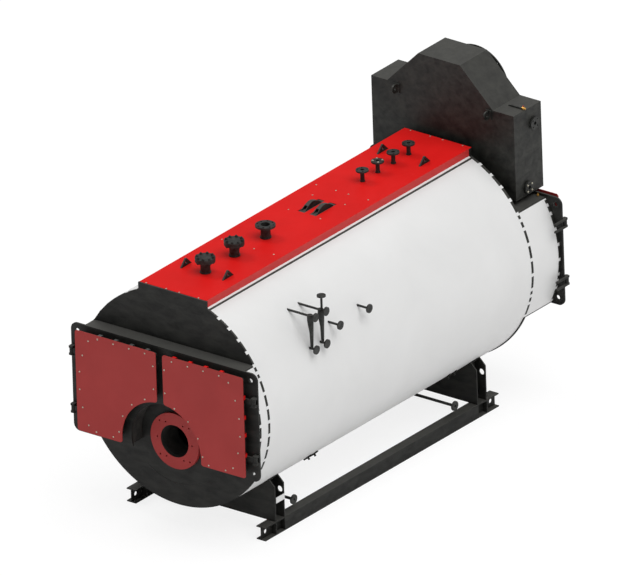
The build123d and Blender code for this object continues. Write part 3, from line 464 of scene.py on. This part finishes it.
# Rims of the drum's end plates: the jacket sheet has narrow tongues that reach over the black
# edge of each plate, so the edge shows as dashes. The smokebox cladding has them at its frame.
tongue_half = 0.020 / jacket_radius
tongue_pitch = 360 / 49
tongue_tuck = 0.003
tongue_lip = 0.001
rim_proud = 0.0022
rim_wall = 0.003
front_tongues = np.append(np.radians(tongue_pitch * np.arange(4, 17)), np.radians(62.6))
rear_tongues = np.radians(np.concatenate([28.0 + 7.8 * np.arange(4), 59.14 + 8.06 * np.arange(8),
                                          (62.7, 103.2)]))


def rim_plates(name, starts, ends, low, high, columns=7, proud=rim_proud):
    """Curved plates on the drum's outline between two places along it: row is the place and
    column the angle from the crown, from each start to each end, on both sides."""
    starts, ends = np.append(starts, -np.asarray(ends)), np.append(ends, -np.asarray(starts))
    share = np.linspace(0, 1, columns)
    turn = starts[:, None, None] + (ends - starts)[:, None, None] * share[None, None]
    place = np.array([low, high])[None, :, None] + 0 * turn
    turn = turn + 0 * place
    reach = jacket_radius + proud
    grid = np.stack([reach * np.sin(turn), place, axis_height + reach * np.cos(turn)], axis=-1)
    return grid_piece(name, grid, faces_wrap=False, wall=rim_wall)


cladding_top = math.radians(58.6)
front_cladding_foot = math.radians(117.8)
rear_cladding_foot = math.radians(116.3)
front_belly_turn = math.radians(118.0)
rear_belly_turn = math.radians(116.5)
skirt_turn = math.asin(walkway_half / jacket_radius)
rim_front = drum_front + 0.025
rim_rear = drum_rear - 0.026
rim_lap = 0.012
band_proud = 0.0010
belly_proud = 0.0120
band_depth = 0.004
end_proud = 0.0004
front_fingers = rim_plates("front_rim_tongues", front_tongues - tongue_half,
                           front_tongues + tongue_half, drum_front - rim_lap - tongue_lip,
                           rim_front + tongue_tuck)
rear_fingers = rim_plates("rear_rim_tongues", rear_tongues - tongue_half,
                          rear_tongues + tongue_half, rim_rear - tongue_tuck,
                          drum_rear + rim_lap + tongue_lip)
fit_to("boiler", white_paint, "jacket_white", front_fingers, rear_fingers)
for name, start, end, low, high in (
        ("front_rim_band", skirt_turn, cladding_top, drum_front - end_proud, rim_front),
        ("front_joint_band", cladding_top, front_belly_turn, drum_front - rim_lap, rim_front),
        ("front_belly_band", front_belly_turn, math.pi, drum_front - end_proud, rim_front),
        ("rear_rim_band", skirt_turn, cladding_top, rim_rear, drum_rear + rim_lap),
        ("rear_joint_band", cladding_top, rear_belly_turn, rim_rear, drum_rear + rim_lap),
        ("rear_belly_band", rear_belly_turn, math.pi, rim_rear, drum_rear + end_proud)):
    proud = belly_proud if name == "rear_belly_band" else band_proud
    band = rim_plates(name, np.array([start]), np.array([end]), low, high, columns=90, proud=proud)
    band.modifiers["wall"].thickness = proud + band_depth
    fit_to("boiler", black_paint, "black_paint", band)

front_band = (-2.883, -2.855)
rear_band = (2.692, 2.726)
for name, tongues, cladding_end, band in (
        ("front_cladding_dashes", front_tongues, front_cladding_foot, front_band),
        ("rear_cladding_dashes", rear_tongues, rear_cladding_foot, rear_band)):
    gaps = np.sort(tongues[(tongues > cladding_top) & (tongues < cladding_end)])
    starts = np.append(cladding_top, gaps + tongue_half)
    ends = np.append(gaps - tongue_half, cladding_end)
    kept = ends - starts > tongue_half
    dashes = rim_plates(name, starts[kept], ends[kept], *band)
    fit_to("boiler", black_paint, "black_paint", dashes)

# Joint beside the walkway's skirts: a black sealing strip on the jacket, half under a white cover strip.
# Black pads under the walkway's two slots are painted shade: they darken the jacket seen through the
# slots.
cover_strip_half = 0.498
seal_strip_half = 0.521
cover_proud = 0.0032
seal_proud = 0.0022
cover_lap = 0.004
pad_near = 0.026
pad_far = 0.138
pad_lap = 0.01
pad_proud = 0.0004
cover_edge_turn = math.asin(cover_strip_half / jacket_radius)
seal_edge_turn = math.asin(seal_strip_half / jacket_radius)
seal = rim_plates("jacket_seal_strips", np.array([skirt_turn]), np.array([seal_edge_turn]), rim_front,
                  rim_rear, proud=seal_proud)
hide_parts("jacket_seam_strips")
fit_to("boiler", black_paint, "black_paint", seal)
covers = rim_plates("skirt_cover_strips", np.array([skirt_turn]), np.array([cover_edge_turn]),
                    rim_front - cover_lap, rim_rear + cover_lap, proud=cover_proud)
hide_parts("platform_side_strips")
fit_to("boiler", white_paint, "jacket_white", covers)
# Painted shade: black pads that darken the walkway's slots.
slot_shade_pads = rim_plates("channel_slot_painted_shade", np.array([math.asin(pad_near / jacket_radius)]),
                  np.array([math.asin(pad_far / jacket_radius)]), slot_front - pad_lap,
                  slot_rear + pad_lap, proud=pad_proud)
fit_to("boiler", black_paint, "black_paint", slot_shade_pads)

# Screws of the door covers and the walkway: zinc-plated pan heads with a driver recess, in rows
# along the covers' edges and across the walkway's sheets.
screw_head = [(0, -0.001, 0), (1, -0.001, 0), (1, 0.25, 0), (0.86, 0.7, 0), (0.5, 0.97, 0), (0.28, 1, 0),
              (0.2, 0.55, 0), (0, 0.55, 0)]


def turned(profile, radius, height, columns=16, corners=0):
    """A profile turned about the upright axis. Each of its rows gives the share of the
    radius, the share of the height and how much of a nut's corners that row shows: there the
    radius swells from the flats to the corners."""
    profile = np.asarray(profile, float)
    turn = np.linspace(0, 2 * math.pi, columns, endpoint=False)
    swell = np.ones(columns)
    if corners:
        part = math.pi / corners
        swell = 1 / np.cos((turn + part) % (2 * part) - part)
    reach = radius * profile[:, :1] * (1 + profile[:, 2:3] * (swell - 1))
    level = height * profile[:, 1:2] + 0 * reach
    return np.stack([reach * np.cos(turn), reach * np.sin(turn), level], axis=-1)


def laid_out(shape, places, along=(0, 0, 1)):
    """Copies of a shape at each place, with its upright axis laid along a direction."""
    turn = np.array(Vector(along).to_track_quat("Z", "Y").to_matrix())
    return (shape @ turn.T)[None] + np.asarray(places, float)[:, None, None, :]


zinc_dark = (0.38, 0.36, 0.28)
zinc_light = (0.62, 0.59, 0.49)
zinc = paint("zinc_plate", zinc_dark, zinc_light, (0.30, 0.45), patch=40.0, grain=400.0, peel=0.0002,
             metallic=0.6)
screw_radius = 0.0100
screw_height = 0.006
left_screw_shift = (-0.0155, 0.009)
front_cover_face = -3.002
rear_cover_face = 2.845
top_row = (0.182, 0.407, 0.628, 0.852)
low_row = (0.906, 0.667, 0.428, 0.190)
inner_column = 0.072
front_top_screws = 2.255
front_low_screws = 1.0935
rear_top_screws = 2.299
rear_low_screws = 1.130


def polar(middle, reach, degrees):
    """Points across the boiler at a reach and angles above the right hand from a height."""
    turn = np.radians(degrees)
    return np.stack([reach * np.cos(turn), middle + reach * np.sin(turn)], axis=-1)


front_screws = np.concatenate([
    [(x, front_top_screws) for x in top_row],
    polar(axis_height, 1.130, np.linspace(29.3, -26.3, 6)),
    [(x, front_low_screws) for x in low_row[:2]],
    polar(burner_height, 0.585, (4.7, 26.4, 48.1, 69.8)),
    [(inner_column, z) for z in (1.839, 2.125)]])
rear_screws = np.concatenate([
    [(x, rear_top_screws) for x in top_row],
    polar(axis_height, 1.170, np.linspace(29.3, -24.0, 6)),
    [(x, rear_low_screws) for x in low_row],
    [(inner_column, z) for z in (1.250, 1.520, 1.839, 2.150)]])
screw = turned(screw_head, screw_radius, screw_height)
for end, screws, face, outward in (("front", front_screws, front_cover_face, -1),
                                   ("rear", rear_screws, rear_cover_face, 1)):
    for side_name, side in (("left", -1), ("right", 1)):
        places = np.stack([side * screws[:, 0], face + 0 * screws[:, 0], screws[:, 1]], axis=-1)
        if (end, side) == ("front", -1):
            places += (left_screw_shift[0], 0, left_screw_shift[1])
        heads = grid_piece(f"{end}_{side_name}_door_screws", laid_out(screw, places, (0, outward, 0)))
        fit_to(f"{end}_door_{side_name}", zinc, None, heads)

walkway_screws = [(-0.383, 0.022), (-0.101, 0.022), (0.082, 0.022), (0.356, 0.022), (-0.377, 1.426),
                  (-0.098, 1.426), (0.077, 1.426), (0.355, 1.426), (-0.236, 2.482), (0.215, 2.482),
                  (-0.244, 2.940), (0.216, 2.940), (-0.376, 3.184), (-0.098, 3.184), (0.081, 3.184),
                  (0.360, 3.184), (-0.239, 4.138), (-0.373, 4.940), (-0.095, 4.940), (0.084, 4.940),
                  (0.364, 4.940)]
walkway_places = [(x, drum_front + place, walkway_top) for x, place in walkway_screws]
walkway_heads = grid_piece("walkway_screws", laid_out(screw, walkway_places))
fit_to("boiler", zinc, None, walkway_heads)

# Cover clips: short hat sections of folded strip between each door box and the overhanging
# edge of its cover sheet, beside the screws of the top row and of the right door's side.
clip_width = 0.045
clip_depth = 0.050
clip_wall = 0.004
clip_corner = 0.005


def clips(name, box_edge, cover_edge, cover_back, outward, across, up, centres):
    """Hat sections. The strip's path leaves the box's edge, runs up behind the cover, back
    under its edge and down to the box again, and is carried across the clip's width."""
    crest = cover_edge - clip_wall
    back = cover_back - outward * clip_depth
    path = np.array([(box_edge, cover_back), (crest - clip_corner, cover_back),
                     (crest, cover_back - outward * clip_corner),
                     (crest, back + outward * clip_corner), (crest - clip_corner, back),
                     (box_edge, back)])
    wide = np.array([-clip_width / 2, clip_width / 2])
    across, up = np.asarray(across, float), np.asarray(up, float)
    rows = path[:, 0, None] * up + path[:, 1, None] * np.array([0, 1.0, 0])
    strip = rows[:, None] + wide[None, :, None] * across
    grids = strip[None] + np.asarray(centres, float)[:, None, None, None] * across
    piece = grid_piece(name, grids, faces_wrap=False, wall=clip_wall)
    piece.modifiers["wall"].offset = 0
    return piece


grey_dark = (0.10, 0.10, 0.10)
grey_light = (0.19, 0.19, 0.185)
grey_strip = paint("grey_folded_strip", grey_dark, grey_light, (0.35, 0.5), patch=18.0, metallic=0.5)
cover_depth = 0.010
front_back = front_cover_face + cover_depth
rear_back = rear_cover_face - cover_depth
front_box_top = 2.262
left_cover_top = 2.308
right_cover_top = 2.302
right_clip_shift = 0.010
front_box_side = 1.142
front_cover_side = 1.178
side_row = (2.046, 1.799, 1.580, 1.330)
rear_box_top = 2.306
rear_cover_top = 2.352
left_clips = clips("front_left_door_clips", front_box_top, left_cover_top, front_back, -1,
                   (1, 0, 0), (0, 0, 1), -np.array(top_row))
right_clips = clips("front_right_door_clips", front_box_top, right_cover_top, front_back, -1,
                    (1, 0, 0), (0, 0, 1), np.array(top_row) + right_clip_shift)
edge_clips = clips("front_right_door_edge_clips", front_box_side, front_cover_side, front_back, -1,
                   (0, 0, 1), (1, 0, 0), side_row)
fit_to("front_door_left", grey_strip, "black_paint", left_clips)
fit_to("front_door_right", walkway_paint, "walkway_red", right_clips, edge_clips)
for side_name, side in (("left", -1), ("right", 1)):
    rear_clips = clips(f"rear_{side_name}_door_clips", rear_box_top, rear_cover_top, rear_back, 1,
                       (1, 0, 0), (0, 0, 1), side * np.array(top_row[:3]))
    fit_to(f"rear_door_{side_name}", grey_strip, "black_paint", rear_clips)

# Studs of the two blind flanges: threaded bar with a hex nut above the cover and another
# below the flange, dipped black with them.
nut_section = [(0, 0, 0), (0.9, 0, 0), (1, 0.1, 1), (1, 0.86, 1), (0.9, 1, 0), (0.68, 1, 0),
               (0.62, 0.93, 0), (0.62, 1.30, 0), (0.54, 1.36, 0), (0, 1.36, 0)]
nut_half = 0.0150
nut_height = 0.016
stud_circle = 0.095
cover_top = 3.163
flange_under = 3.112
stud_turns = np.radians(22.5 + 45 * np.arange(8))
for name, place in (("front_blind_studs", 0.622), ("rear_blind_studs", 1.163)):
    ring = np.stack([stud_circle * np.cos(stud_turns),
                     drum_front + place + stud_circle * np.sin(stud_turns), 0 * stud_turns], axis=-1)
    nut = turned(nut_section, nut_half, nut_height, columns=24, corners=6)
    grids = np.concatenate([laid_out(nut, ring + (0, 0, cover_top)),
                            laid_out(nut, ring + (0, 0, flange_under), (0, 0, -1))])
    fit_to("boiler", pipe_black, "flange_black", grid_piece(name, grids))

# Bolts of two small flanges, bright: one valve nozzle on the crown, and the economiser's
# lower side connection.
bolt_head = [(0, 0, 0), (1.22, 0, 0), (1.22, 0.18, 0), (1.0, 0.2, 1), (1.0, 0.88, 1), (0.9, 1, 0),
             (0, 1, 0)]
bolt_half = 0.0095
bolt_height = 0.011
bolt_circle = 0.055
bolt_turns = np.radians(45 + 90 * np.arange(4))
bolt = turned(bolt_head, bolt_half, bolt_height, columns=24, corners=6)
nozzle_top = 3.120
nozzle_place = 3.838
side_place = 5.280
side_height = 2.496
round_bolts = np.stack([bolt_circle * np.cos(bolt_turns), bolt_circle * np.sin(bolt_turns)], axis=-1)
on_nozzle = np.stack([round_bolts[:, 0], drum_front + nozzle_place + round_bolts[:, 1],
                      nozzle_top + 0 * bolt_turns], axis=-1)
fit_to("boiler", zinc, None, grid_piece("valve_flange_bolts", laid_out(bolt, on_nozzle)))
side_face = 1.040
on_side = np.stack([side_face + 0 * bolt_turns, drum_front + side_place + round_bolts[:, 0],
                    side_height + round_bolts[:, 1]], axis=-1)
fit_to("boiler", zinc, None, grid_piece("side_flange_bolts", laid_out(bolt, on_side, (1, 0, 0))))


# Air vent on the economiser's shoulder: a thin black pipe that lies along it to a brass
# cock with a small red cap. A brass nipple stands on the rear smokebox below it.
def bar(path, across, radius, columns=12):
    """A round bar along a path in one plane, given that plane's normal: each row is a ring
    about a point of the path, and the two ends close in to a point."""
    path = np.asarray(path, float)
    along = np.gradient(path, axis=0)
    along /= np.linalg.norm(along, axis=1, keepdims=True)
    side = np.cross(along, across)
    turn = np.linspace(0, 2 * math.pi, columns, endpoint=False)[None, :, None]
    rings = path[:, None] + radius * (np.cos(turn) * np.asarray(across, float)
                                      + np.sin(turn) * side[:, None])
    ends = [np.repeat(path[row][None, None], columns, axis=1) for row in (0, -1)]
    return np.concatenate([ends[0], rings, ends[1]])[None]


vent_place = drum_front + 5.276
vent_radius = 0.010
vent_lift = 0.011
vent_start = 0.790
vent_end = 0.975
vent_foot = (0.782, vent_place, house_shoulder + 0.002)
vent_path = np.stack([np.linspace(vent_start, vent_end, 8), np.full(8, vent_place),
                      np.full(8, house_shoulder + vent_lift)], axis=-1)
vent_path[0] = vent_foot
vent_pipe = grid_piece("vent_pipe", bar(vent_path, (0, 1, 0), vent_radius))
fit_to("boiler", pipe_black, "flange_black", vent_pipe)
brass_dark = (0.45, 0.24, 0.05)
brass_light = (0.72, 0.42, 0.11)
brass = paint("brass", brass_dark, brass_light, (0.28, 0.42), patch=30.0, grain=300.0,
              peel=0.0003, metallic=0.85)
cock_half = 0.017
cock_length = 0.048
cock_foot = (0.966, vent_place, house_shoulder + 0.017)
nipple_half = 0.013
nipple_length = 0.036
nipple_foot = (1.050, drum_front + 5.412, 2.340)
cap_radius = 0.008
cap_height = 0.016
cap_foot = (0.985, vent_place, house_shoulder + 0.032)
cock_body = [(0, 0, 0), (0.6, 0, 0), (0.6, 0.15, 0), (1, 0.18, 1), (1, 0.62, 1), (0.7, 0.66, 0),
             (0.7, 1, 0), (0.35, 1, 0), (0.32, 0.9, 0), (0, 0.9, 0)]
cock = turned(cock_body, cock_half, cock_length, columns=24, corners=6)
vent_cock = grid_piece("vent_cock", laid_out(cock, [cock_foot], (1, 0, 0)))
nipple_shape = turned(cock_body, nipple_half, nipple_length, columns=24, corners=6)
nipple = grid_piece("smokebox_nipple", laid_out(nipple_shape, [nipple_foot]))
fit_to("boiler", brass, None, vent_cock, nipple)
cap_section = [(0, 0, 0), (1, 0, 0), (1, 0.7, 0), (0.8, 1, 0), (0, 1, 0)]
vent_cap = grid_piece("vent_cap", laid_out(turned(cap_section, cap_radius, cap_height), [cap_foot]))
fit_to("boiler", door_paint, "door_red", vent_cap)

# Weld on the front plate: a thin bead of steel laid in an arc below the smokebox, and painted
# over with the plate.
weld_span = 36
weld_steps = 60
weld_reach = 0.729
weld_middle = 1.316
weld_radius = 0.0035
weld_turn = np.radians(np.linspace(-weld_span, weld_span, weld_steps))
weld_path = np.stack([weld_reach * np.sin(weld_turn), np.full(weld_steps, drum_front),
                      weld_middle - weld_reach * np.cos(weld_turn)], axis=-1)
plate_weld = grid_piece("front_plate_weld", bar(weld_path, (0, 1, 0), weld_radius, columns=10))
fit_to("boiler", stack_paint, "black_paint", plate_weld)

# Edges of the smokebox floors: black plate that shows as a line under the white cladding, on
# both sides of each smokebox.
floor_edge = 0.013
floor_tuck = 0.06
floor_lean = 0.004
floor_proud = 0.001
front_floor = 1.030
rear_floor = 1.060
for name, floor_height, near, far in (("front_floor_edges", front_floor, front_band[0], drum_front),
                                      ("rear_floor_edges", rear_floor, drum_rear, rear_band[1])):
    reach = math.sqrt(jacket_radius ** 2 - (axis_height - floor_height) ** 2) + floor_proud
    corners = np.array([(reach - floor_tuck, floor_height), (reach, floor_height),
                        (reach - floor_lean, floor_height - floor_edge),
                        (reach - floor_tuck, floor_height - floor_edge)])
    hub = np.repeat(corners.mean(axis=0)[None], 4, axis=0)
    strip = np.array([upright(hub, near), upright(corners, near), upright(corners, far),
                      upright(hub, far)])
    fit_to("boiler", black_paint, "black_paint", grid_piece(name, [strip, strip[::-1] * (-1, 1, 1)]))

# Saddles: two cross plates each, cut to the drum and standing on the beams, with a web at
# each side and a pad under the jacket. A hole goes through each end of the rear plates.
saddle_half = 0.976
saddle_foot = 0.166
saddle_shoulder = 0.592
saddle_contact = 0.891
saddle_split = 0.870
saddle_plate = 0.016
saddle_reach = 0.090
hole_middle = np.array([0.923, 0.501])
hole_radius = 0.037
web_place = 0.820
web_half = 0.008
pad_thick = 0.014


def belly(x, reach=jacket_radius):
    """Height of the drum's underside, or of a circle about its axis, at a place across it."""
    return axis_height - np.sqrt(reach ** 2 - np.asarray(x) ** 2)


def beam_of(stations, lows, highs, near, far):
    """A four-sided bar across the boiler: at each station its lower and upper heights, with
    its ends closed in to a point."""
    lows, highs = np.broadcast_to(lows, stations.shape), np.broadcast_to(highs, stations.shape)
    rings = np.array([[(x, near, low), (x, far, low), (x, far, high), (x, near, high)]
                      for x, low, high in zip(stations, lows, highs)])
    caps = [np.repeat(rings[row].mean(axis=0)[None], 4, axis=0) for row in (0, -1)]
    return np.concatenate([caps[0][None], rings, caps[1][None]])


middle_stations = np.linspace(-saddle_split, saddle_split, 41)
wing = [(saddle_split, saddle_foot), (saddle_split, float(belly(saddle_split))),
        (saddle_contact, float(belly(saddle_contact))), (saddle_half, saddle_shoulder),
        (saddle_half, saddle_foot)]
for end, place in (("front", 0.596), ("rear", 4.362)):
    middle = drum_front + place
    spans, wings = [], []
    for pair in (-1, 1):
        near, far = sorted((middle + pair * saddle_reach, middle + pair * (saddle_reach - saddle_plate)))
        spans.append(beam_of(middle_stations, saddle_foot, belly(middle_stations), near, far))
        edge, hole = round_hole(wing, hole_middle, hole_radius if pair > 0 else 0.0)
        loop = np.array([upright(hole, near), upright(edge, near), upright(edge, far),
                         upright(hole, far), upright(hole, near)])
        wings += [loop, loop[::-1] * (-1, 1, 1)]
    inside = saddle_reach - saddle_plate
    webs = [beam_of(side * web_place + np.linspace(-web_half, web_half, 3), saddle_foot,
                    belly(web_place - web_half), middle - inside, middle + inside)
            for side in (-1, 1)]
    pad_x = np.linspace(-saddle_contact, saddle_contact, 41)
    pad = beam_of(pad_x, belly(pad_x, jacket_radius + pad_thick), belly(pad_x),
                  middle - inside, middle + inside)
    plates = grid_piece(f"{end}_saddle_plates", spans)
    sides = grid_piece(f"{end}_saddle_wings", wings)
    lining = grid_piece(f"{end}_saddle_pad", [pad])
    stays = grid_piece(f"{end}_saddle_webs", webs)
    for piece in (plates, sides, lining, stays):
        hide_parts(f"saddle_{end}")
    fit_to("boiler", black_paint, "black_paint", plates, sides, lining, stays)

# Blank plate: a thin white sheet that lies flat on the right edge of the front saddle. It is
# left plain.
blank_sides = np.array([saddle_half - 0.001, saddle_half + 0.003])
blank_low = 0.385
blank_high = 0.455
blank_front = -2.186
blank_rear = -2.029
blank = beam_of(blank_sides, blank_low, blank_high, blank_front, blank_rear)
fit_to("boiler", white_paint, "jacket_white", grid_piece("saddle_blank_plate", [blank]))

# Belly cleats: two pairs of short steel bars bent to the drum's right side, each with a round
# stud, painted black.
cleat_places = (1.288, 1.402, 3.888, 4.002)
cleat_turn = np.radians(90 + np.linspace(52.7, 46.9, 12))
cleat_half = 0.012
cleat_rise = 0.017
stud_turn = math.radians(90 + 49.7)
stud_radius = 0.0125
stud_length = 0.040
bars, studs = [], []
for place in cleat_places:
    y = drum_front + place
    rings = np.array([[(reach * math.sin(turn), level, axis_height + reach * math.cos(turn))
                       for reach, level in ((jacket_radius, y - cleat_half),
                                            (jacket_radius, y + cleat_half),
                                            (jacket_radius + cleat_rise, y + cleat_half),
                                            (jacket_radius + cleat_rise, y - cleat_half))]
                      for turn in cleat_turn])
    caps = [np.repeat(rings[row].mean(axis=0)[None], 4, axis=0) for row in (0, -1)]
    bars.append(np.concatenate([caps[0][None], rings, caps[1][None]]))
    studs.append((jacket_radius * math.sin(stud_turn), y,
                  axis_height + jacket_radius * math.cos(stud_turn)))
stud_section = [(0, 0, 0), (1, 0, 0), (1, 0.96, 0), (0.92, 1, 0), (0, 1, 0)]
cleat_bars = grid_piece("cleat_bars", bars)
cleat_studs = grid_piece("cleat_studs", laid_out(turned(stud_section, stud_radius, stud_length), studs,
                                                 (math.sin(stud_turn), 0, math.cos(stud_turn))))
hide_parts("belly_cleats")
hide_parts("belly_cleats")
fit_to("boiler", black_paint, "black_paint", cleat_bars, cleat_studs)

# Tube ends: each fire tube stands a little proud of its plate, with a rolled and welded lip.
# They fill the plates in offset rows round the furnace.
tube_hole = 0.038
tube_pitch = 0.172
tube_margin = 0.062
shell_radius = 1.216
shell_wall = 0.016
furnace_radius = 0.590
casing_wall = 0.014
casing_top = 2.340
third_pass_height = 1.950
plate_inset = 0.020
lip_height = 0.005
tube_lip = [(0.94, -0.4, 0), (1.16, 0, 0), (1.10, 0.7, 0), (1.0, 1, 0), (0.94, 0.8, 0), (0.94, -0.4, 0)]
field = shell_radius - shell_wall - tube_margin - tube_hole
furnace_field = furnace_radius + tube_margin + tube_hole
row_of, column_of = np.meshgrid(np.arange(14), np.arange(-9, 9), indexing="ij")
tube_x = column_of * tube_pitch + tube_pitch / 2 * (row_of % 2)
tube_z = front_floor + casing_wall + tube_margin + tube_hole + row_of * tube_pitch * math.sqrt(3) / 2
open_front = ((np.hypot(tube_x, tube_z - axis_height) < field) & (tube_z < casing_top - tube_margin)
              & (np.hypot(tube_x, tube_z - burner_height) > furnace_field))
third_pass = open_front & (tube_z > third_pass_height)
for name, chosen, face, outward in (("front_tube_ends", open_front, drum_front + plate_inset, -1),
                                    ("rear_tube_ends", third_pass, drum_rear - plate_inset, 1)):
    places = np.stack([tube_x[chosen], np.full(chosen.sum(), face), tube_z[chosen]], axis=-1)
    lips = grid_piece(name, laid_out(turned(tube_lip, tube_hole, lip_height), places,
                                     (0, outward, 0)))
    fit_to("boiler", rolled_plate, "boiler_plate", lips)
